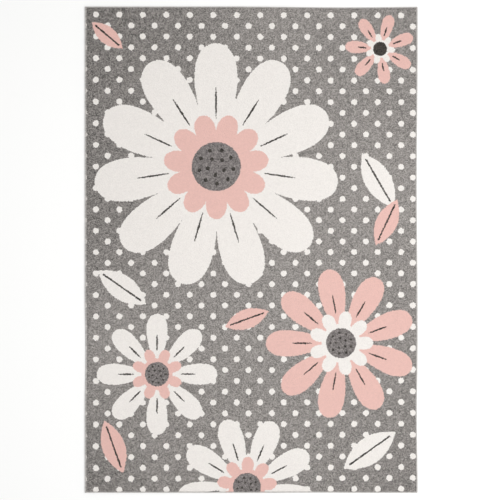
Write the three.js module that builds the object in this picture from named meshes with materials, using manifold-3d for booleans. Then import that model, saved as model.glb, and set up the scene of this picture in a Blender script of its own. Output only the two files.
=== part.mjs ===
// A flat, short-pile kids rug with serged edges, lying face up.
// Millimetres. +X runs across the rug, +Y along it and +Z up. The origin is on the underside, in the
// middle of the rug.

import * as THREE from 'three';
import { mergeVertices } from 'three/addons/utils/BufferGeometryUtils.js';
import Module from 'manifold-3d';

// Driving dimensions
const rugWidth = 1575;
const rugLength = 2300;
const rugHeight = 12; // backing and pile together
const pileRounding = 4; // the pile leans outwards at its rim, which rounds the top edge
const roundingSteps = 3;
const gap = 0.3; // between pieces that touch

// The bare woven margin beyond the pile, which lies inside the serging
const selvedge = { underside: 1.5, thickness: 3.1, fromEdge: 2.5 };

// The yarn overlocked round the edges, narrower at the ends than along the sides
const sideSerging = { width: 11, height: 7 };
const endSerging = { width: 7.5, height: 7 };
const sergingFoot = 2.2; // radius of the lower outer corner
const sergingCrown = 3.6; // radius of the upper outer corner
const sergingDip = 0.5; // the yarn sinks this much towards the pile
const sergingCurveSteps = 4;

// Each edge of the rug, anticlockwise: the corners that it joins, the side of the rug that it lies on
// and the number of straight steps that follow its bows
const edges = {
  right: { from: [1, -1], to: [1, 1], across: 'x', outward: 1, steps: 32 },
  top: { from: [1, 1], to: [-1, 1], across: 'y', outward: 1, steps: 24 },
  left: { from: [-1, 1], to: [-1, -1], across: 'x', outward: -1, steps: 32 },
  bottom: { from: [-1, -1], to: [1, -1], across: 'y', outward: -1, steps: 24 },
};

// The edges aren't quite straight. Each bow draws an edge in: where its middle lies along the edge,
// how far it reaches to either side, and how deep it is.
const bows = [
  { edge: 'left', middle: -490, reach: 290, depth: 3.5 },
  { edge: 'right', middle: 330, reach: 640, depth: 4 },
  { edge: 'right', middle: -800, reach: 350, depth: 3.5 },
  { edge: 'top', middle: 450, reach: 560, depth: 4.5 },
  { edge: 'bottom', middle: 320, reach: 200, depth: 1 },
];

const wasm = await Module();
wasm.setup();

// How far an edge is drawn in at a place along it
function bowAt(edge, place) {
  let inward = 0;
  for (const bow of bows) {
    const share = (place - bow.middle) / bow.reach;
    if (bow.edge === edge && Math.abs(share) < 1) {
      inward += bow.depth * Math.cos((share * Math.PI) / 2) ** 2;
    }
  }
  return inward;
}

// Half the rug's size across an edge, less the inset there
function halfAcross(across, inset) {
  return across === 'x' ? rugWidth / 2 - inset.side : rugLength / 2 - inset.end;
}

// A corner of the rug, given by its signs, drawn in by an inset from the sides and from the ends
function corner([signX, signY], inset) {
  const side = signX > 0 ? 'right' : 'left';
  const end = signY > 0 ? 'top' : 'bottom';
  return new THREE.Vector2(
    signX * (halfAcross('x', inset) - bowAt(side, (signY * rugLength) / 2)),
    signY * (halfAcross('y', inset) - bowAt(end, (signX * rugWidth) / 2)),
  );
}

// A point along an edge: share is 0 at its first corner and 1 at its last
function edgePoint(name, share, inset) {
  const { from, to, across, outward } = edges[name];
  const along = across === 'x' ? 'y' : 'x';
  const point = corner(from, inset).lerp(corner(to, inset), share);
  point[across] = outward * (halfAcross(across, inset) - bowAt(name, point[along]));
  return point;
}

// The rug's outline as a shape, drawn in by an inset
function outline(inset) {
  const points = [];
  for (const [name, { steps }] of Object.entries(edges)) {
    for (let step = 0; step < steps; step += 1) {
      points.push(edgePoint(name, step / steps, inset));
    }
  }
  return new THREE.Shape(points);
}

// The line along the foot of one edge, which its serging follows
class EdgeLine extends THREE.Curve {
  constructor(name, inset) {
    super();
    this.name = name;
    this.inset = inset;
  }

  getPoint(share, target = new THREE.Vector3()) {
    const point = edgePoint(this.name, share, this.inset);
    return target.set(point.x, point.y, 0);
  }
}

function solidFrom(geometry) {
  geometry.deleteAttribute('normal');
  geometry.deleteAttribute('uv');
  const merged = mergeVertices(geometry);
  return new wasm.Manifold(
    new wasm.Mesh({
      numProp: 3,
      vertProperties: merged.attributes.position.array,
      triVerts: new Uint32Array(merged.index.array),
    }),
  );
}

function geometryFrom(solid) {
  const { vertProperties, triVerts } = solid.getMesh();
  const geometry = new THREE.BufferGeometry();
  geometry.setAttribute('position', new THREE.BufferAttribute(vertProperties, 3));
  geometry.setIndex(new THREE.BufferAttribute(triVerts, 1));
  const faceted = geometry.toNonIndexed();
  faceted.computeVertexNormals();
  return faceted;
}

// A flat layer of the rug's outline, from one height to another
function layer(inset, low, high) {
  const geometry = new THREE.ExtrudeGeometry(outline(inset), {
    depth: high - low,
    bevelEnabled: false,
  });
  geometry.translate(0, 0, low);
  return solidFrom(geometry);
}

// The pile and its backing. The bevel rounds the slab above and below, so the slab starts deep under
// the floor and is cut off there, which leaves the rounding on top only.
function pileSlab(inset) {
  const geometry = new THREE.ExtrudeGeometry(outline(inset), {
    depth: rugHeight,
    bevelEnabled: true,
    bevelThickness: pileRounding,
    bevelSize: pileRounding,
    bevelOffset: -pileRounding,
    bevelSegments: roundingSteps,
  });
  geometry.translate(0, 0, -pileRounding);
  const underFloor = new THREE.BoxGeometry(rugWidth, rugLength, rugHeight);
  underFloor.translate(0, 0, -rugHeight / 2);
  return solidFrom(geometry).subtract(solidFrom(underFloor));
}

// The selvedge as a layer that runs from under the pile to just inside the rug's edge, with room round
// it where the serging is cut to take it
function selvedgeLayer(room) {
  const reach = selvedge.fromEdge - room;
  const low = selvedge.underside - room;
  const high = selvedge.underside + selvedge.thickness + room;
  return layer({ side: reach, end: reach }, low, high);
}

function bodyGeometry() {
  const inset = { side: sideSerging.width + gap, end: endSerging.width + gap };
  return geometryFrom(pileSlab(inset).add(selvedgeLayer(0)));
}

// The serging's section. It is swept along the edge with its height pointing down the shape's x axis
// and the way in from the edge up the y axis, so a point is (-height, inward).
function sergingSection({ width, height }) {
  const section = new THREE.Shape();
  section.moveTo(0, width);
  section.lineTo(sergingDip - height, width);
  section.lineTo(-height, sergingCrown);
  section.quadraticCurveTo(-height, 0, sergingCrown - height, 0);
  section.lineTo(-sergingFoot, 0);
  section.quadraticCurveTo(0, 0, 0, sergingFoot);
  return section;
}

function sergingGeometry(name) {
  const { across, steps } = edges[name];
  const size = across === 'x' ? sideSerging : endSerging;
  // The side serging takes the whole length, and the end serging fits between the two sides
  const inset = { side: across === 'x' ? 0 : sideSerging.width + gap, end: 0 };
  const swept = new THREE.ExtrudeGeometry(sergingSection(size), {
    steps,
    curveSegments: sergingCurveSteps,
    extrudePath: new EdgeLine(name, inset),
  });
  return geometryFrom(solidFrom(swept).subtract(selvedgeLayer(gap)));
}

function addPiece(group, name, geometry, color) {
  const material = new THREE.MeshStandardMaterial({ color, roughness: 0.95, metalness: 0 });
  const mesh = new THREE.Mesh(geometry, material);
  mesh.name = name;
  group.add(mesh);
}

const group = new THREE.Group();
addPiece(group, 'rug_body', bodyGeometry(), '#8c8784');
for (const name of Object.keys(edges)) {
  addPiece(group, `${name}_serging`, sergingGeometry(name), '#aeaaa6');
}

export default group;
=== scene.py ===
# A short-pile kids rug lying flat: one woven body with its pile, and yarn overlocked round the edges
import math
import random

import bmesh
import bpy
from mathutils import Matrix, Vector, noise


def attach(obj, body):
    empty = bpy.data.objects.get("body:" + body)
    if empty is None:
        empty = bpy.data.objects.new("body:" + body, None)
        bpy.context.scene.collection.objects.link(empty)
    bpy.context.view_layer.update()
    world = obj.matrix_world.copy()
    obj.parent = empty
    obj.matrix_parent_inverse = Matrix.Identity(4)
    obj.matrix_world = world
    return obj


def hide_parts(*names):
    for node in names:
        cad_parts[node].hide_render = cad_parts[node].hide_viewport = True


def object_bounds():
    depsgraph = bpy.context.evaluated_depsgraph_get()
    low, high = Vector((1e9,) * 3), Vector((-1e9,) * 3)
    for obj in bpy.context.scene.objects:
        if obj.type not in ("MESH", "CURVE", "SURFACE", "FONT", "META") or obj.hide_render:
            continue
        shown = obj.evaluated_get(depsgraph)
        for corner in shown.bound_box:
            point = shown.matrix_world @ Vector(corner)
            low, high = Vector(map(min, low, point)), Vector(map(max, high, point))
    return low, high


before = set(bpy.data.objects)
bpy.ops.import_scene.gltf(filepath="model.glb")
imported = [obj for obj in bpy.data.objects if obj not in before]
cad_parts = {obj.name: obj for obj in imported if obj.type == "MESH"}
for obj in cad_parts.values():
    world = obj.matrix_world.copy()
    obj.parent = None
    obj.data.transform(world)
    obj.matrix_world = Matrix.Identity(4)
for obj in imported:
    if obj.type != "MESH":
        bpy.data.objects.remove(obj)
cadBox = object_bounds()
mm = 0.001
rugWidth = (cadBox[1].x - cadBox[0].x) / mm
rugLength = (cadBox[1].y - cadBox[0].y) / mm
print("frame loaded, the rug is", round(rugWidth), "by", round(rugLength), "mm")


# Camera: straight above, as the photo was taken, with a long lens so that the edges stay parallel

photoFrame = {  # pixels
    "side": 500,
    "rugLeft": 84.7,
    "rugRight": 417.6,
    "rugTop": 6.4,
    "rugBottom": 492.95,
}
cameraHeight = 12.0  # metres over the pile
cameraReach = 100.0  # metres
sensorWidth = 36.0  # mm


def makeCamera():
    pixel = rugLength * mm / (photoFrame["rugBottom"] - photoFrame["rugTop"])
    rugColumn = (photoFrame["rugLeft"] + photoFrame["rugRight"]) / 2
    rugRow = (photoFrame["rugTop"] + photoFrame["rugBottom"]) / 2
    middle = photoFrame["side"] / 2
    data = bpy.data.cameras.new("overhead")
    data.sensor_width = sensorWidth
    data.lens = sensorWidth * cameraHeight / (photoFrame["side"] * pixel)
    data.clip_end = cameraReach
    camera = bpy.data.objects.new("overhead", data)
    camera.location = ((middle - rugColumn) * pixel, (rugRow - middle) * pixel, cadBox[1].z + cameraHeight)
    bpy.context.scene.collection.objects.link(camera)
    bpy.context.scene.camera = camera


makeCamera()
print("camera placed")


# Helpers for meshes and materials

def linear(code):  # an sRGB hex colour as linear red, green, blue and alpha
    shares = [int(code[place:place + 2], 16) / 255 for place in (1, 3, 5)]
    return [s / 12.92 if s <= 0.04045 else ((s + 0.055) / 1.055) ** 2.4 for s in shares] + [1]


mixA = 6  # a Mix node's sockets for its two colours, and its output for the mixed one
mixB = 7
mixColour = 2


def addNode(tree, kind, inputs=None, **settings):  # adds a node with its settings, values and links
    node = tree.nodes.new(kind if kind.startswith("NodeGroup") else "ShaderNode" + kind)
    for name, value in settings.items():
        setattr(node, name, value)
    for name, value in (inputs or {}).items():
        if isinstance(value, bpy.types.Node):
            value = value.outputs[0]
        if isinstance(value, bpy.types.NodeSocket):
            tree.links.new(value, node.inputs[name])
        else:
            node.inputs[name].default_value = value
    return node


def newMaterial(name):
    material = bpy.data.materials.new(name)
    material.use_nodes = True
    material.node_tree.nodes.clear()
    return material, material.node_tree


def newGroup(name, inputs, outputs):  # makes a node group and returns it with its input sockets
    tree = bpy.data.node_groups.new(name, "ShaderNodeTree")
    for socket, kind in inputs.items():
        tree.interface.new_socket(socket, in_out="INPUT", socket_type=kind)
    for socket, kind in outputs.items():
        tree.interface.new_socket(socket, in_out="OUTPUT", socket_type=kind)
    return tree, addNode(tree, "NodeGroupInput").outputs


def newPiece(name, bm, materials):  # turns a bmesh into a piece of the rug that rides on its body
    bmesh.ops.recalc_face_normals(bm, faces=bm.faces)
    mesh = bpy.data.meshes.new(name)
    bm.to_mesh(mesh)
    bm.free()
    for material in materials:
        mesh.materials.append(material)
    piece = bpy.data.objects.new(name, mesh)
    bpy.context.scene.collection.objects.link(piece)
    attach(piece, "root")
    return piece


# The edges aren't quite straight: each bow draws an edge in, as on the CAD pieces

edgeBows = [  # mm: the bow's middle along the edge, its reach to either side, and its depth
    {"edge": "left", "middle": -490, "reach": 290, "depth": 3.5},
    {"edge": "right", "middle": 330, "reach": 640, "depth": 4},
    {"edge": "right", "middle": -800, "reach": 350, "depth": 3.5},
    {"edge": "top", "middle": 450, "reach": 560, "depth": 4.5},
    {"edge": "bottom", "middle": 320, "reach": 200, "depth": 1},
]
bowFull = 0.95  # share of the half width beyond which a point takes its edge's whole bow
bowFade = 3  # power with which the bow fades away towards the middle of the rug


def bowAt(edge, place):
    inward = 0
    for bow in edgeBows:
        share = (place - bow["middle"]) / bow["reach"]
        if bow["edge"] == edge and abs(share) < 1:
            inward += bow["depth"] * math.cos(share * math.pi / 2) ** 2
    return inward


def bowed(x, y):  # where a point of a straight-edged rug lies on the real one, in mm
    side = "right" if x > 0 else "left"
    end = "top" if y > 0 else "bottom"
    sideShare = min(1, abs(x) / (bowFull * rugWidth / 2)) ** bowFade
    endShare = min(1, abs(y) / (bowFull * rugLength / 2)) ** bowFade
    return (
        x - math.copysign(bowAt(side, y) * sideShare, x),
        y - math.copysign(bowAt(end, x) * endShare, y),
    )


# The design: polka dots in staggered rows, with large daisies and leaves over them

ground = "#9F9A96"
cream = "#F6F1EC"
pink = "#EDC2B9"
grey = "#8A8482"
charcoal = "#494541"

dots = {  # mm
    "radius": 14.2,
    "column": 55.5,  # half the pitch along a row, as every other row is shifted by it
    "row": 50.85,
    "first": (-734, 1107),  # a dot near the upper left corner
}
thinnest = 3.8  # mm, half the width of the design's thinnest lines, which are about two tufts wide
stray = {  # the weft isn't beaten up evenly, so the woven design strays along the rug from its drawing
    "wave": 2.6,  # mm, its height
    "waveLength": 1750,  # mm
    "skew": 2.9,  # mm at a metre out from the middle both ways
}

# Sizes in mm and turns in degrees. Place is the middle of the flower, size its outer radius.
daisies = [
    {"place": (-165, 395), "size": 580, "turn": 8, "petals": 11,
     "outer": cream, "inner": pink, "eye": grey},
    {"place": (425, -445), "size": 355, "turn": 20, "petals": 9,
     "outer": pink, "inner": cream, "eye": grey},
    {"place": (-445, -590), "size": 285, "turn": 0, "petals": 8,
     "outer": cream, "inner": pink, "eye": grey},
    {"place": (-20, -1120), "size": 330, "turn": 12, "petals": 9,
     "outer": cream, "inner": pink, "eye": grey},
    {"place": (610, 950), "size": 165, "turn": 30, "petals": 7,
     "outer": pink, "inner": cream, "eye": charcoal},
]

leaves = [
    {"place": (600, 330), "size": 150, "turn": 60, "colour": cream},
    {"place": (640, 130), "size": 120, "turn": 115, "colour": pink},
    {"place": (-610, -180), "size": 140, "turn": 35, "colour": cream},
    {"place": (-650, -930), "size": 130, "turn": 70, "colour": pink},
    {"place": (560, -950), "size": 150, "turn": -35, "colour": cream},
    {"place": (-20, -330), "size": 110, "turn": -20, "colour": pink},
    {"place": (-680, 1010), "size": 95, "turn": 40, "colour": pink},
]


def makeEllipseRing():  # a mask of like ellipses in a ring, in shares of the flower's radius
    numbers = ("Radius", "Angle", "Count", "Turn", "Middle", "HalfLength", "HalfWidth", "Egg")
    floats = {n: "NodeSocketFloat" for n in numbers}
    tree, given = newGroup("ellipseRing", floats, {"Inside": "NodeSocketFloat"})
    wedge = addNode(tree, "Math", {0: math.pi, 1: given["Count"]}, operation="DIVIDE")
    minus = addNode(tree, "Math", {0: wedge, 1: -1.0}, operation="MULTIPLY")
    turned = addNode(tree, "Math", {0: given["Angle"], 1: given["Turn"]}, operation="ADD")
    folded = addNode(tree, "Math", {0: turned, 1: wedge, 2: minus}, operation="WRAP")
    cosine = addNode(tree, "Math", {0: folded}, operation="COSINE")
    sine = addNode(tree, "Math", {0: folded}, operation="SINE")
    along = addNode(tree, "Math", {0: given["Radius"], 1: cosine}, operation="MULTIPLY")
    across = addNode(tree, "Math", {0: given["Radius"], 1: sine}, operation="MULTIPLY")
    past = addNode(tree, "Math", {0: along, 1: given["Middle"]}, operation="SUBTRACT")
    lengthShare = addNode(tree, "Math", {0: past, 1: given["HalfLength"]}, operation="DIVIDE")
    widthShare = addNode(tree, "Math", {0: across, 1: given["HalfWidth"]}, operation="DIVIDE")
    lean = addNode(tree, "Math", {0: lengthShare, 1: given["Egg"]}, operation="MULTIPLY")
    squeeze = addNode(tree, "Math", {0: 1.0, 1: lean}, operation="SUBTRACT")
    eggShare = addNode(tree, "Math", {0: widthShare, 1: squeeze}, operation="MULTIPLY")
    pair = addNode(tree, "CombineXYZ", {"X": lengthShare, "Y": eggShare})
    reach = addNode(tree, "VectorMath", {0: pair}, operation="LENGTH").outputs["Value"]
    inside = addNode(tree, "Math", {0: reach, 1: 1.0}, operation="LESS_THAN")
    addNode(tree, "NodeGroupOutput", {"Inside": inside})
    return tree


# The rings of one daisy, from the lowest layer up, in shares of its radius. Length and width are halves.
# A ring without a count has one shape for each petal, and "shift" turns a ring by half a petal.
daisyRings = [
    {"paint": "Outer", "shift": 0, "middle": 0.62, "length": 0.38, "width": 0.168, "egg": 0.28},
    {"paint": "Marks", "shift": 0, "middle": 0.52, "length": 0.13, "width": 0.007, "egg": 0},
    {"paint": "Inner", "shift": 1, "middle": 0.30, "length": 0.13, "width": 0.085, "egg": 0.1},
    {"paint": "Inner", "count": 1, "shift": 0, "middle": 0, "length": 0.26, "width": 0.26, "egg": 0},
    {"paint": "Eye", "count": 1, "shift": 0, "middle": 0, "length": 0.2, "width": 0.2, "egg": 0},
    {"paint": "Marks", "count": 9, "shift": 0, "middle": 0.14, "length": 0.016, "width": 0.016, "egg": 0},
    {"paint": "Marks", "count": 5, "shift": 1, "middle": 0.07, "length": 0.016, "width": 0.016, "egg": 0},
]


def makeDaisy(ringGroup):  # paints one daisy over a colour
    floats = {n: "NodeSocketFloat" for n in ("Zoom", "Turn", "Petals", "Thinnest")}
    vectors = {n: "NodeSocketVector" for n in ("Place", "Middle")}
    colours = {n: "NodeSocketColor" for n in ("Under", "Outer", "Inner", "Eye", "Marks")}
    tree, given = newGroup("daisy", {**vectors, **floats, **colours}, {"Colour": "NodeSocketColor"})
    offset = addNode(tree, "VectorMath", {0: given["Place"], 1: given["Middle"]}, operation="SUBTRACT")
    unit = addNode(tree, "VectorMath", {0: offset, "Scale": given["Zoom"]}, operation="SCALE")
    radius = addNode(tree, "VectorMath", {0: unit}, operation="LENGTH").outputs["Value"]
    parts = addNode(tree, "SeparateXYZ", {0: unit}).outputs
    angle = addNode(tree, "Math", {0: parts["Y"], 1: parts["X"]}, operation="ARCTAN2")
    turned = addNode(tree, "Math", {0: angle, 1: given["Turn"]}, operation="ADD")
    halfStep = addNode(tree, "Math", {0: math.pi, 1: given["Petals"]}, operation="DIVIDE")
    colour = given["Under"]
    for ring in daisyRings:
        width = addNode(tree, "Math", {0: ring["width"], 1: given["Thinnest"]}, operation="MAXIMUM")
        inside = addNode(tree, "Group", node_tree=ringGroup, inputs={
            "Radius": radius,
            "Angle": turned,
            "Count": ring.get("count", given["Petals"]),
            "Turn": halfStep if ring["shift"] else 0.0,
            "Middle": ring["middle"],
            "HalfLength": ring["length"],
            "HalfWidth": width,
            "Egg": ring["egg"],
        }).outputs["Inside"]
        paint = given[ring["paint"]]
        mix = addNode(tree, "Mix", {0: inside, mixA: colour, mixB: paint}, data_type="RGBA")
        colour = mix.outputs[mixColour]
    addNode(tree, "NodeGroupOutput", {"Colour": colour})
    return tree


leafShape = {"width": 0.42, "ribLength": 0.78}  # shares of the leaf's half length


def makeLeaf():  # paints one pointed leaf with its rib over a colour
    floats = {n: "NodeSocketFloat" for n in ("Zoom", "Turn", "Thinnest")}
    vectors = {n: "NodeSocketVector" for n in ("Place", "Middle")}
    colours = {n: "NodeSocketColor" for n in ("Under", "Blade", "Rib")}
    tree, given = newGroup("leaf", {**vectors, **floats, **colours}, {"Colour": "NodeSocketColor"})
    offset = addNode(tree, "VectorMath", {0: given["Place"], 1: given["Middle"]}, operation="SUBTRACT")
    unit = addNode(tree, "VectorMath", {0: offset, "Scale": given["Zoom"]}, operation="SCALE")
    turned = addNode(tree, "VectorRotate", {"Vector": unit, "Angle": given["Turn"]},
                     rotation_type="Z_AXIS")
    parts = addNode(tree, "SeparateXYZ", {0: turned}).outputs
    square = addNode(tree, "Math", {0: parts["X"], 1: parts["X"]}, operation="MULTIPLY")
    left = addNode(tree, "Math", {0: 1.0, 1: square}, operation="SUBTRACT")
    room = addNode(tree, "Math", {0: left, 1: leafShape["width"]}, operation="MULTIPLY")
    across = addNode(tree, "Math", {0: parts["Y"]}, operation="ABSOLUTE")
    inside = addNode(tree, "Math", {0: across, 1: room}, operation="LESS_THAN")
    along = addNode(tree, "Math", {0: parts["X"]}, operation="ABSOLUTE")
    near = addNode(tree, "Math", {0: across, 1: given["Thinnest"]}, operation="LESS_THAN")
    short = addNode(tree, "Math", {0: along, 1: leafShape["ribLength"]}, operation="LESS_THAN")
    rib = addNode(tree, "Math", {0: near, 1: short}, operation="MULTIPLY")
    blade = addNode(tree, "Mix", {0: inside, mixA: given["Under"], mixB: given["Blade"]},
                    data_type="RGBA").outputs[mixColour]
    ribbed = addNode(tree, "Mix", {0: rib, mixA: blade, mixB: given["Rib"]},
                     data_type="RGBA").outputs[mixColour]
    addNode(tree, "NodeGroupOutput", {"Colour": ribbed})
    return tree


def drawnPlace(tree, woven):  # the place in the drawing of what is woven at a place on the rug
    parts = addNode(tree, "SeparateXYZ", {0: woven}).outputs
    waveTurn = addNode(tree, "Math", {0: parts["Y"], 1: math.tau / stray["waveLength"]},
                       operation="MULTIPLY")
    wave = addNode(tree, "Math", {0: waveTurn}, operation="SINE")
    waveStray = addNode(tree, "Math", {0: wave, 1: stray["wave"]}, operation="MULTIPLY")
    corner = addNode(tree, "Math", {0: parts["X"], 1: parts["Y"]}, operation="MULTIPLY")
    bothStrays = addNode(tree, "Math", {0: corner, 1: stray["skew"] * mm ** 2, 2: waveStray},
                         operation="MULTIPLY_ADD")
    along = addNode(tree, "CombineXYZ", {"Y": bothStrays})
    return addNode(tree, "VectorMath", {0: woven, 1: along}, operation="ADD")


def paintDots(tree, place):  # the ground with its dots
    # Each cell of two columns by two rows has a dot in its middle and at its corners. The height above
    # the floor isn't used: it is folded with the rest and then flattened.
    flat = (1, 1, 0)
    cell = (dots["column"], dots["row"], 1)
    moved = addNode(tree, "VectorMath", {0: place, 1: (*dots["first"], 0)}, operation="SUBTRACT")
    folded = addNode(tree, "VectorMath", {0: moved, 1: cell, 2: [-side for side in cell]},
                     operation="WRAP")
    quarter = addNode(tree, "VectorMath", {0: folded}, operation="ABSOLUTE")
    toCorner = addNode(tree, "VectorMath", {0: quarter, 1: cell}, operation="SUBTRACT")
    middleFlat = addNode(tree, "VectorMath", {0: quarter, 1: flat}, operation="MULTIPLY")
    cornerFlat = addNode(tree, "VectorMath", {0: toCorner, 1: flat}, operation="MULTIPLY")
    middleWay = addNode(tree, "VectorMath", {0: middleFlat}, operation="LENGTH").outputs["Value"]
    cornerWay = addNode(tree, "VectorMath", {0: cornerFlat}, operation="LENGTH").outputs["Value"]
    nearest = addNode(tree, "Math", {0: middleWay, 1: cornerWay}, operation="MINIMUM")
    inside = addNode(tree, "Math", {0: nearest, 1: dots["radius"]}, operation="LESS_THAN")
    mix = addNode(tree, "Mix", {0: inside, mixA: linear(ground), mixB: linear(cream)}, data_type="RGBA")
    return mix.outputs[mixColour]


def makeDesign():  # the whole design as a colour for a place on the rug, in mm
    daisyGroup = makeDaisy(makeEllipseRing())
    leafGroup = makeLeaf()
    tree, given = newGroup("design", {"Place": "NodeSocketVector"}, {"Colour": "NodeSocketColor"})
    place = drawnPlace(tree, given["Place"])
    colour = paintDots(tree, place)
    for leaf in leaves:
        colour = addNode(tree, "Group", node_tree=leafGroup, inputs={
            "Place": place,
            "Middle": (*leaf["place"], 0),
            "Zoom": 1 / leaf["size"],
            "Turn": math.radians(leaf["turn"]),
            "Thinnest": thinnest / leaf["size"],
            "Under": colour,
            "Blade": linear(leaf["colour"]),
            "Rib": linear(charcoal),
        }).outputs["Colour"]
    for daisy in daisies:
        colour = addNode(tree, "Group", node_tree=daisyGroup, inputs={
            "Place": place,
            "Middle": (*daisy["place"], 0),
            "Zoom": 1 / daisy["size"],
            "Turn": math.radians(daisy["turn"]),
            "Petals": daisy["petals"],
            "Thinnest": thinnest / daisy["size"],
            "Under": colour,
            "Outer": linear(daisy["outer"]),
            "Inner": linear(daisy["inner"]),
            "Eye": linear(daisy["eye"]),
            "Marks": linear(charcoal),
        }).outputs["Colour"]
    addNode(tree, "NodeGroupOutput", {"Colour": colour})
    return tree


# Materials

pile = {
    "tuft": 3.3,  # mm between tufts; the real 2.5 to 3 mm is too fine to show, so they are drawn coarser
    "patch": 18.0,  # mm, size of the softer blotches where lighter and darker yarn gather
    "tuftContrast": 1.12,  # how far single grey tufts go from dark to light
    "patchContrast": 0.5,
    "shadeMiddle": (185, -10, 0),  # mm: the painted shade on the grey pile is lightest here and darkens away from it
    "shadeTurn": -17,  # degrees from the rug's width to the way in which it darkens fastest
    "shadeReach": (930, 1770, 1000),  # mm that way, at right angles to it, and up
    "paintedShading": 0.2,  # share of the grey pile's brightness lost to painted shade at that reach
    "greyBelow": 0.3,  # linear brightness up to which a colour is shaded as grey
    "paleAbove": 0.55,  # the same from which it is shaded as cream, whose yarn is all one colour
    "paleContrast": 0.08,  # share of the grey's contrast left on cream
    "fibre": 0.6,  # mm, the cut ends of the fibres within a tuft
    "fibreContrast": 0.4,
    "between": 0.68,  # painted shade: brightness left between two grey tufts, where the eye looks down into the pile
    "paleBetween": 0.94,  # the same painted shade between pale tufts, kept light as they light each other
    "crown": (0.2, 0.75),  # the crown falls off between these distances from a tuft's middle, in tufts, for the bump and the painted shade
    "relief": 1.6,  # mm from the crown of a tuft down to its border
    "fibreRelief": 0.35,  # share of that height that the fibres vary by
}
paintedPatches = [  # places in mm where a painted highlight or painted shade lies on the grey pile, and the brightness gained there
    {"middle": (-720, -450, 0), "reach": 420, "gain": 0.15},
    {"middle": (-700, 300, 0), "reach": 450, "gain": -0.08},
    {"middle": (720, 300, 0), "reach": 380, "gain": 0.08},
    {"middle": (100, 1120, 0), "reach": 380, "gain": 0.1},
    {"middle": (-760, -1120, 0), "reach": 380, "gain": -0.1},
]


middleTone = 0.5  # the middle of a random or noise value


def paintedPileShading(tree, place):  # painted shade and highlight: brightness that the grey pile gains or loses by its place on the rug
    away = addNode(tree, "Mapping", {
        "Vector": place,
        "Location": pile["shadeMiddle"],
        "Rotation": (0, 0, math.radians(pile["shadeTurn"])),
        "Scale": pile["shadeReach"],
    }, vector_type="TEXTURE")
    square = addNode(tree, "VectorMath", {0: away, 1: away}, operation="DOT_PRODUCT").outputs["Value"]
    paintedShading = addNode(tree, "Math", {0: square, 1: -pile["paintedShading"]}, operation="MULTIPLY")
    # painted highlight or painted shade in soft round patches
    for patch in paintedPatches:
        way = addNode(tree, "VectorMath", {0: place, 1: patch["middle"]}, operation="DISTANCE")
        gain = addNode(tree, "MapRange", {
            "Value": way.outputs["Value"],
            "From Max": patch["reach"],
            "To Min": patch["gain"],
            "To Max": 0.0,
        }, interpolation_type="SMOOTHSTEP")
        paintedShading = addNode(tree, "Math", {0: paintedShading, 1: gain}, operation="ADD")
    return paintedShading


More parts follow.
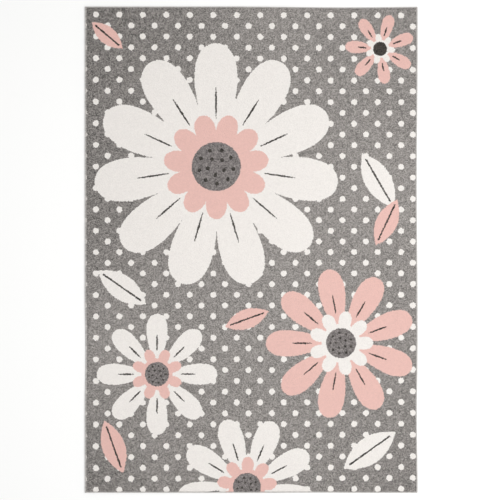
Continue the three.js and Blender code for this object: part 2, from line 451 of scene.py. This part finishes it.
def makePileMaterial(design):
    # Heat-set polypropylene yarn, cut short: matt with a faint sheen, each tuft its own tone
    material, tree = newMaterial("cut polypropylene pile")
    spot = addNode(tree, "TexCoord").outputs["Object"]
    place = addNode(tree, "VectorMath", {0: spot, "Scale": 1 / mm}, operation="SCALE")
    tufts = addNode(tree, "TexVoronoi", {"Vector": place, "Scale": 1 / pile["tuft"]},
                    voronoi_dimensions="2D")
    # A tuft has one colour all over, so the design is read at the tuft's middle
    picture = addNode(tree, "Group", {"Place": tufts.outputs["Position"]}, node_tree=design)
    tone = addNode(tree, "SeparateColor", {0: tufts.outputs["Color"]}).outputs["Red"]
    patches = addNode(tree, "TexNoise", {"Vector": place, "Scale": 1 / pile["patch"], "Detail": 2.0},
                      noise_dimensions="2D")
    toneOff = addNode(tree, "Math", {0: tone, 1: middleTone}, operation="SUBTRACT")
    patchOff = addNode(tree, "Math", {0: patches, 1: middleTone}, operation="SUBTRACT")
    # painted shade and highlight on the grey pile, added to the tufts' own tones and blotches
    paintedShading = paintedPileShading(tree, place)
    tuftToneAndPaintedShading = addNode(tree, "Math", {0: toneOff, 1: pile["tuftContrast"], 2: paintedShading},
                        operation="MULTIPLY_ADD")
    mottleAndPaintedShading = addNode(tree, "Math", {0: patchOff, 1: pile["patchContrast"], 2: tuftToneAndPaintedShading},
                     operation="MULTIPLY_ADD")
    greyToPale = {
        "Value": addNode(tree, "RGBToBW", {0: picture}),
        "From Min": pile["greyBelow"],
        "From Max": pile["paleAbove"],
    }
    contrast = addNode(tree, "MapRange", {**greyToPale, "To Min": 1.0, "To Max": pile["paleContrast"]})
    shade = addNode(tree, "Math", {0: mottleAndPaintedShading, 1: contrast, 2: 1.0}, operation="MULTIPLY_ADD")
    # painted shade: each tuft darkens from its crown down to its border, much less on pale yarn; the crown
    # also shapes the bump
    crown = addNode(tree, "MapRange", {
        "Value": tufts.outputs["Distance"],
        "From Min": pile["crown"][0],
        "From Max": pile["crown"][1],
        "To Min": 1.0,
        "To Max": 0.0,
    }, interpolation_type="SMOOTHSTEP")
    between = addNode(tree, "MapRange", {
        **greyToPale,
        "To Min": pile["between"],
        "To Max": pile["paleBetween"],
    })
    depth = addNode(tree, "MapRange", {"Value": crown, "To Min": between, "To Max": 1.0})
    fibres = addNode(tree, "TexNoise", {"Vector": place, "Scale": 1 / pile["fibre"], "Detail": 1.0},
                     noise_dimensions="2D")
    fibreOff = addNode(tree, "Math", {0: fibres, 1: middleTone}, operation="SUBTRACT")
    fibreShade = addNode(tree, "Math", {0: fibreOff, 1: pile["fibreContrast"], 2: shade},
                         operation="MULTIPLY_ADD")
    allShades = addNode(tree, "Math", {0: fibreShade, 1: depth}, operation="MULTIPLY")
    colour = addNode(tree, "VectorMath", {0: picture, "Scale": allShades}, operation="SCALE")
    height = addNode(tree, "Math", {0: fibreOff, 1: pile["fibreRelief"], 2: crown},
                     operation="MULTIPLY_ADD")
    bump = addNode(tree, "Bump", {"Strength": 0.8, "Distance": pile["relief"] * mm, "Height": height})
    shader = addNode(tree, "BsdfPrincipled", {
        "Base Color": colour,
        "Roughness": 0.92,
        "IOR": 1.49,
        "Specular IOR Level": 0.2,
        "Sheen Weight": 0.12,
        "Sheen Roughness": 0.5,
        "Normal": bump,
    })
    addNode(tree, "OutputMaterial", {"Surface": shader})
    return material


backing = {
    "weft": 4.2,  # mm between threads across the rug
    "warp": 3.4,  # mm between threads along it
    "jute": "#C3B395",
    "show": 0.35,  # share of the design's colour between the threads
    "slub": 9.0,  # mm, size of the thicker and thinner stretches
    "slubShade": (0.7, 1.25),  # brightness from the darkest of them to the lightest
    "relief": 0.5,  # mm
}
bandScale = math.tau / 20  # a wave texture of this scale has one band to each unit of its vector


def makeBackingMaterial(design):
    # Woven jute weft over the pile's own roots: dry and matt, with the design faint between the threads
    material, tree = newMaterial("woven jute backing")
    spot = addNode(tree, "TexCoord").outputs["Object"]
    place = addNode(tree, "VectorMath", {0: spot, "Scale": 1 / mm}, operation="SCALE")
    picture = addNode(tree, "Group", {"Place": place}, node_tree=design)
    weft = addNode(tree, "TexWave", {"Vector": place, "Scale": bandScale / backing["weft"]},
                   bands_direction="Y").outputs["Fac"]
    warp = addNode(tree, "TexWave", {"Vector": place, "Scale": bandScale / backing["warp"]},
                   bands_direction="X").outputs["Fac"]
    weave = addNode(tree, "Math", {0: weft, 1: warp}, operation="MULTIPLY")
    slubs = addNode(tree, "TexNoise", {"Vector": place, "Scale": 1 / backing["slub"], "Detail": 3.0})
    between = addNode(tree, "Math", {0: 1.0, 1: weave}, operation="SUBTRACT")
    share = addNode(tree, "Math", {0: between, 1: backing["show"]}, operation="MULTIPLY")
    jute = linear(backing["jute"])
    mix = addNode(tree, "Mix", {0: share, mixA: jute, mixB: picture}, data_type="RGBA")
    dark, light = backing["slubShade"]
    shade = addNode(tree, "MapRange", {"Value": slubs, "To Min": dark, "To Max": light})
    colour = addNode(tree, "VectorMath", {0: mix.outputs[mixColour], "Scale": shade}, operation="SCALE")
    bump = addNode(tree, "Bump", {"Strength": 0.6, "Distance": backing["relief"] * mm, "Height": weave})
    shader = addNode(tree, "BsdfPrincipled", {
        "Base Color": colour,
        "Roughness": 0.95,
        "Specular IOR Level": 0.2,
        "Normal": bump,
    })
    addNode(tree, "OutputMaterial", {"Surface": shader})
    return material


serging = {
    "sideWidth": 11,  # mm
    "endWidth": 7.5,  # mm
    "middle": 3.3,  # mm, height of the roll's middle
    "gap": 0.3,  # mm from the pile and from the next piece
    "wrap": 3.5,  # mm along the edge from one turn of the yarn to the next
    "ridge": 0.8,  # mm from the crest of a turn down to the groove beside it
    "slant": 3.0,  # mm that a turn runs along the edge while it crosses the top
    "twist": 1.1,  # mm, half the way along the edge from one strand of the yarn to the next
    "yarn": "#BDB9B6",
    "turnShade": (0.82, 1.16),  # brightness from the darkest turn to the lightest
    "strandPaintedShade": (0.9, 1.05),  # painted shade and highlight: brightness from between the strands to their crests
    "strandRelief": 0.3,  # mm
    "pileShows": 0.5,  # share of the pile's own colour in the grooves between the turns
}


def makeSergingMaterial(design):
    # Twisted polyester overlocking yarn: lighter grey than the pile, soft sheen, each turn its own tone
    material, tree = newMaterial("twisted overlocking yarn")
    turn = addNode(tree, "Attribute", attribute_name="turnTone").outputs["Fac"]
    groove = addNode(tree, "Attribute", attribute_name="groove").outputs["Fac"]
    around = addNode(tree, "Attribute", attribute_name="yarnPlace").outputs["Vector"]
    twist = addNode(tree, "TexWave", {"Vector": around, "Scale": bandScale / serging["twist"]},
                    bands_direction="DIAGONAL").outputs["Fac"]
    dark, light = serging["turnShade"]
    shade = addNode(tree, "MapRange", {"Value": turn, "To Min": dark, "To Max": light})
    # painted shade in the grooves between the twisted strands, lighter on their crests
    dark, light = serging["strandPaintedShade"]
    paintedStrandShade = addNode(tree, "MapRange", {"Value": twist, "To Min": dark, "To Max": light})
    both = addNode(tree, "Math", {0: shade, 1: paintedStrandShade}, operation="MULTIPLY")
    yarn = addNode(tree, "VectorMath", {0: linear(serging["yarn"])[:3], "Scale": both}, operation="SCALE")
    spot = addNode(tree, "TexCoord").outputs["Object"]
    place = addNode(tree, "VectorMath", {0: spot, "Scale": 1 / mm}, operation="SCALE")
    picture = addNode(tree, "Group", {"Place": place}, node_tree=design)
    share = addNode(tree, "Math", {0: groove, 1: serging["pileShows"]}, operation="MULTIPLY")
    mix = addNode(tree, "Mix", {0: share, mixA: yarn, mixB: picture}, data_type="RGBA")
    bump = addNode(tree, "Bump", {
        "Strength": 0.4,
        "Distance": serging["strandRelief"] * mm,
        "Height": twist,
    })
    shader = addNode(tree, "BsdfPrincipled", {
        "Base Color": mix.outputs[mixColour],
        "Roughness": 0.8,
        "Sheen Weight": 0.2,
        "Normal": bump,
    })
    addNode(tree, "OutputMaterial", {"Surface": shader})
    return material


designGroup = makeDesign()
pileMaterial = makePileMaterial(designGroup)
backingMaterial = makeBackingMaterial(designGroup)
sergingMaterial = makeSergingMaterial(designGroup)
print("materials made")


# The woven body: a flat sheet of pile, folded down at its rim and closed by the backing

body = {
    "seed": 11,
    "pitch": 6.4,  # mm between the mesh's points
    "flatSide": 15.3,  # mm from the rug's side to where the pile starts to round off
    "flatEnd": 11.8,  # mm, the same from its end
    "top": 11.6,  # mm, mean height of the pile
    "lump": 0.45,  # mm, unevenness from tuft to tuft
    "wave": 0.35,  # mm, slow unevenness
    "waveSize": 45,  # mm
    "rimLump": 1.3,  # mm, unevenness of the rim outwards
    "sideLean": {"right": 4.5, "left": -1.6},  # mm that the rim's pile leans outwards, over the serging
    "endLean": {"top": 1.5, "bottom": -1.0},
}
rimSteps = [  # mm outwards from the flat top, height, and how much of the lean is taken there
    {"out": 1.3, "height": 11.3, "lean": 0.27},
    {"out": 2.6, "height": 10.6, "lean": 0.55},
    {"out": 3.8, "height": 9.5, "lean": 0.8},
    {"out": 4.7, "height": 8.3, "lean": 1.0},
    {"out": 4.5, "height": 7.4, "lean": 0.55},
    {"out": 4.0, "height": 6.2, "lean": 0},
    {"out": 4.0, "height": 2.2, "lean": 0},
    {"out": 3.8, "height": 0, "lean": 0},
]
pileFoot = 2.5  # mm: below this the backing is smooth
offTop = 0.1  # mm past the flat top, beyond which a point counts as part of the rim
topShare = 0.8  # of the texture's height, with the underside in the rest
mapMargin = 0.004  # left free round each, as a share of the texture


def pileHeight(x, y):
    slow = noise.noise(Vector((x, y, 0)) / body["waveSize"])
    return body["top"] + body["wave"] * slow + random.gauss(0, body["lump"] / 2)


def foldRim(bm, flat, lean, half):  # adds the rim's rings round the flat top and returns the flat size
    ring = [edge for edge in bm.edges if edge.is_boundary]
    out = 0
    height = body["top"]
    rolled = 0  # mm from the flat top, measured over the rim
    for step in rimSteps:
        made = bmesh.ops.extrude_edge_only(bm, edges=ring)["geom"]
        ring = [part for part in made if isinstance(part, bmesh.types.BMEdge)]
        verts = [part for part in made if isinstance(part, bmesh.types.BMVert)]
        rolled += math.hypot(step["out"] - out, step["height"] - height)
        before = half + Vector((out, out))
        after = half + Vector((step["out"], step["out"]))
        bmesh.ops.scale(bm, vec=(after.x / before.x, after.y / before.y, 1), verts=verts)
        out = step["out"]
        height = step["height"]
        for vert in verts:
            vert.co.z = height
            vert[lean] = step["lean"]
            vert[flat] = Vector((
                vert.co.x / after.x * (half.x + rolled),
                vert.co.y / after.y * (half.y + rolled),
                0,
            ))
    return ring, half + Vector((rolled, rolled))


def mapBody(bm, flat, flatHalf):  # lays the top and, above it, the underside on the texture
    layer = bm.loops.layers.uv.new("OFBake")
    underHigh = 1 - topShare - 2 * mapMargin
    for face in bm.faces:
        for loop in face.loops:
            spot = loop.vert.co if face.material_index else loop.vert[flat]
            u = 0.5 + spot.x / flatHalf.x * (0.5 - mapMargin)
            v = 0.5 + spot.y / flatHalf.y * (0.5 - mapMargin)
            if face.material_index:
                v = topShare + mapMargin + v * underHigh
            else:
                v = v * topShare
            loop[layer].uv = (u, v)


def roughen(bm, lean, half):  # lumps the pile, leans its rim, bows the edges and turns mm to metres
    random.seed(body["seed"])
    for vert in bm.verts:
        x, y, z = vert.co
        if z > pileFoot:
            z += pileHeight(x, y) - body["top"]
            push = random.uniform(-body["rimLump"], body["rimLump"]) / 2
            if abs(vert.co.x) > half.x + offTop:
                side = "right" if vert.co.x > 0 else "left"
                x += math.copysign(push + vert[lean] * body["sideLean"][side], x)
            if abs(vert.co.y) > half.y + offTop:
                end = "top" if vert.co.y > 0 else "bottom"
                y += math.copysign(push + vert[lean] * body["endLean"][end], y)
        x, y = bowed(x, y)
        vert.co = Vector((x, y, z)) * mm


def makeBody():
    half = Vector((rugWidth / 2 - body["flatSide"], rugLength / 2 - body["flatEnd"]))
    bm = bmesh.new()
    bmesh.ops.create_grid(bm, x_segments=round(2 * half.x / body["pitch"]),
                          y_segments=round(2 * half.y / body["pitch"]), size=1)
    bmesh.ops.scale(bm, vec=(half.x, half.y, 1), verts=bm.verts)
    bmesh.ops.translate(bm, vec=(0, 0, body["top"]), verts=bm.verts)
    flat = bm.verts.layers.float_vector.new("flat")
    lean = bm.verts.layers.float.new("lean")
    for vert in bm.verts:
        vert[flat] = vert.co
    ring, flatHalf = foldRim(bm, flat, lean, half)
    bmesh.ops.edgeloop_fill(bm, edges=ring, mat_nr=1)
    mapBody(bm, flat, flatHalf)
    roughen(bm, lean, half)
    for layers, name in ((bm.verts.layers.float_vector, "flat"), (bm.verts.layers.float, "lean")):
        layers.remove(layers[name])
    for face in bm.faces:
        face.smooth = face.material_index == 0
    piece = newPiece("woven_pile_body", bm, [pileMaterial, backingMaterial])
    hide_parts("rug_body")
    return piece


rugBody = makeBody()
print("woven body made,", len(rugBody.data.polygons), "faces")


# The serging: yarn wound round each edge, swept along it as a ridged roll

sergingSection = [  # mm: inwards from the edge as a share of the width, and height, anticlockwise
    {"inward": 1.0, "height": 0.0},
    {"inward": 1.0, "height": 3.0},
    {"inward": 1.0, "height": 5.6},
    {"inward": 0.86, "height": 6.5},
    {"inward": 0.66, "height": 6.9},
    {"inward": 0.46, "height": 7.0},
    {"inward": 0.29, "height": 6.7},
    {"inward": 0.14, "height": 5.9},
    {"inward": 0.04, "height": 4.6},
    {"inward": 0.0, "height": 3.2},
    {"inward": 0.05, "height": 1.7},
    {"inward": 0.15, "height": 0.6},
    {"inward": 0.32, "height": 0.0},
    {"inward": 0.66, "height": 0.0},
]
turnCrest = [0, 0.85, 1, 0.85]  # share of the ridge's height at each mesh ring of a turn
lowestCrest = 0.75  # the least share of that height that a turn may have
endTaper = [0.5, 0.8, 0.93]  # share of its thickness that the roll has at the first rings of an open end
slantMiddle = 0.42  # share of the way round where the turns cross the top; they come back underneath
slantRamp = 8  # rings in which the slant of the turns builds up from an end
seamReach = 0.001  # mm within which the roll's two long edges are merged into one
edgeRuns = {  # degrees that each edge is turned by, and whether it is one of the two long sides
    "right": {"turn": 0, "isSide": True, "seed": 5},
    "top": {"turn": 90, "isSide": False, "seed": 3},
    "left": {"turn": 180, "isSide": True, "seed": 4},
    "bottom": {"turn": 270, "isSide": False, "seed": 6},
}
yarnMap = {  # how the yarn lies on its texture, in shares of the texture
    "rows": 8,  # rows that the long strip is folded into
    "rowFill": 0.96,  # share of a row's height that its strip takes
    "rowsHeight": 0.98,  # height of all rows together, with the end caps above them
    "capHeight": 0.99,
    "capPlaces": (0.2, 0.6),  # middles of the two end caps along the texture
    "capRadius": 0.008,
}


def mapYarn(bm, rings, points):  # folds the long strip of yarn into rows on the texture
    layer = bm.loops.layers.uv.new("OFBake")
    rows = yarnMap["rows"]
    for face in bm.faces:
        row = int(face.calc_center_median().x / rings * rows)
        for loop in face.loops:
            u = loop.vert.co.x / rings * rows - row
            v = (row + loop.vert.co.y / points * yarnMap["rowFill"]) / rows * yarnMap["rowsHeight"]
            loop[layer].uv = (u, v)


def capYarn(bm):  # closes both ends, each with a small disc of its own on the texture
    layer = bm.loops.layers.uv["OFBake"]
    ends = [edge for edge in bm.edges if edge.is_boundary]
    radius = yarnMap["capRadius"]
    for cap in bmesh.ops.holes_fill(bm, edges=ends)["faces"]:
        middle = yarnMap["capPlaces"][0 if cap.calc_center_median().y > 0 else 1]
        for number, loop in enumerate(cap.loops):
            angle = math.tau * number / len(cap.loops)
            u = middle + radius * math.cos(angle)
            v = yarnMap["capHeight"] + radius * math.sin(angle)
            loop[layer].uv = (u, v)


def windYarn(bm, run, length, rings, points):  # bends the flat grid into a roll of turns along the edge
    width = serging["sideWidth"] if run["isSide"] else serging["endWidth"]
    reach = (rugWidth if run["isSide"] else rugLength) / 2
    middle = Vector((width / 2, serging["middle"]))
    for name in ("turnTone", "groove"):
        bm.verts.layers.float.new(name)
    tone = bm.verts.layers.float["turnTone"]
    groove = bm.verts.layers.float["groove"]
    yarn = bm.verts.layers.float_vector.new("yarnPlace")
    turns = rings // len(turnCrest)
    random.seed(run["seed"])
    tones = [random.random() for _ in range(turns + 1)]
    crests = [random.uniform(lowestCrest, 1) for _ in range(turns + 1)]
    girth = sum(
        math.dist((a["inward"] * width, a["height"]), (b["inward"] * width, b["height"]))
        for a, b in zip(sergingSection, sergingSection[1:] + sergingSection[:1])
    )
    for vert in bm.verts:
        ring = round(vert.co.x)
        share = round(vert.co.y) / points
        section = sergingSection[round(vert.co.y) % points]
        turn, phase = divmod(ring, len(turnCrest))
        fromEnd = min(ring, rings - ring)
        vert[tone] = tones[turn]
        vert[groove] = 1 - turnCrest[phase]
        vert[yarn] = (ring / rings * length, share * girth, 0)
        spot = Vector((section["inward"] * width, section["height"]))
        if section["inward"] < 1:  # the face towards the pile stays flat, clear of it
            sunk = serging["ridge"] * (1 - turnCrest[phase] * crests[turn])
            spot += (middle - spot).normalized() * sunk
        if run["isSide"] and fromEnd < len(endTaper):
            spot = middle.lerp(spot, endTaper[fromEnd])
        swing = math.sin(math.tau * (share - slantMiddle)) * min(1, fromEnd / slantRamp)
        along = (ring / rings - 0.5) * length + serging["slant"] / 2 * swing
        vert.co = Vector((reach - spot.x, along, spot.y))


def makeSerging(name, run):
    sides = 2 * (serging["sideWidth"] + serging["gap"])
    length = rugLength if run["isSide"] else rugWidth - sides
    rings = round(length / serging["wrap"]) * len(turnCrest)
    points = len(sergingSection)
    bm = bmesh.new()
    # The grid is the yarn rolled out flat: x counts rings along the edge, y counts points of the section
    bmesh.ops.create_grid(bm, x_segments=rings, y_segments=points, size=0.5)
    bmesh.ops.translate(bm, vec=(0.5, 0.5, 0), verts=bm.verts)
    bmesh.ops.scale(bm, vec=(rings, points, 1), verts=bm.verts)
    mapYarn(bm, rings, points)
    windYarn(bm, run, length, rings, points)
    bmesh.ops.remove_doubles(bm, verts=bm.verts, dist=seamReach)
    capYarn(bm)
    bmesh.ops.rotate(bm, matrix=Matrix.Rotation(math.radians(run["turn"]), 3, "Z"), verts=bm.verts)
    for vert in bm.verts:
        x, y = bowed(vert.co.x, vert.co.y)
        vert.co = Vector((x, y, vert.co.z)) * mm
    for face in bm.faces:
        face.smooth = len(face.verts) == 4
    piece = newPiece(name + "_edge_yarn", bm, [sergingMaterial])
    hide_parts(name + "_serging")
    print(name, "serging made,", rings // len(turnCrest), "turns")
    return piece


edgeYarns = [makeSerging(name, run) for name, run in edgeRuns.items()]


# Studio: a pale floor, even light all round and a large soft lamp to the right

studio = {
    "floorSize": 40.0,  # metres from the middle to an edge
    "floorDrop": 0.2,  # mm under the rug, so that the two faces don't touch
    "floorColour": "#FBFBFA",
    "floorDarkest": 0.99,  # brightness of its darkest places
    "floorCloud": 0.8,  # such places a metre
    "skyStrength": 0.81,
    "lampPlace": (1.6, -0.3, 3.4),  # metres
    "lampSize": 2.0,  # metres
    "lampPower": 56.0,  # watts
}


def makeFloor():
    # Plain coated paper, matt, with a faint unevenness so that it isn't one flat tone
    material, tree = newMaterial("matt white studio paper")
    spot = addNode(tree, "TexCoord").outputs["Object"]
    cloud = addNode(tree, "TexNoise", {"Vector": spot, "Scale": studio["floorCloud"]})
    shade = addNode(tree, "MapRange", {"Value": cloud, "To Min": studio["floorDarkest"], "To Max": 1.0})
    colour = addNode(tree, "VectorMath", {0: linear(studio["floorColour"])[:3], "Scale": shade},
                     operation="SCALE")
    shader = addNode(tree, "BsdfPrincipled", {
        "Base Color": colour,
        "Roughness": 0.9,
        "Specular IOR Level": 0.1,
    })
    addNode(tree, "OutputMaterial", {"Surface": shader})
    bm = bmesh.new()
    bmesh.ops.create_grid(bm, x_segments=1, y_segments=1, size=studio["floorSize"])
    bmesh.ops.translate(bm, vec=(0, 0, -studio["floorDrop"] * mm), verts=bm.verts)
    mesh = bpy.data.meshes.new("studio_floor")
    bm.to_mesh(mesh)
    bm.free()
    mesh.materials.append(material)
    floor = bpy.data.objects.new("studio_floor", mesh)
    bpy.context.scene.collection.objects.link(floor)


def makeLight():
    world = bpy.data.worlds.new("studio")
    bpy.context.scene.world = world
    world.use_nodes = True
    world.node_tree.nodes.clear()
    white = (1, 1, 1, 1)
    sky = addNode(world.node_tree, "Background", {"Color": white, "Strength": studio["skyStrength"]})
    addNode(world.node_tree, "OutputWorld", {"Surface": sky})

    data = bpy.data.lights.new("softbox", "AREA")
    data.size = studio["lampSize"]
    data.energy = studio["lampPower"]
    lamp = bpy.data.objects.new("softbox", data)
    lamp.location = studio["lampPlace"]
    lamp.visible_camera = False
    lamp.rotation_euler = (-Vector(studio["lampPlace"])).to_track_quat("-Z", "Y").to_euler()
    bpy.context.scene.collection.objects.link(lamp)


makeFloor()
makeLight()
bpy.context.scene.view_settings.view_transform = "Standard"
print("studio made")
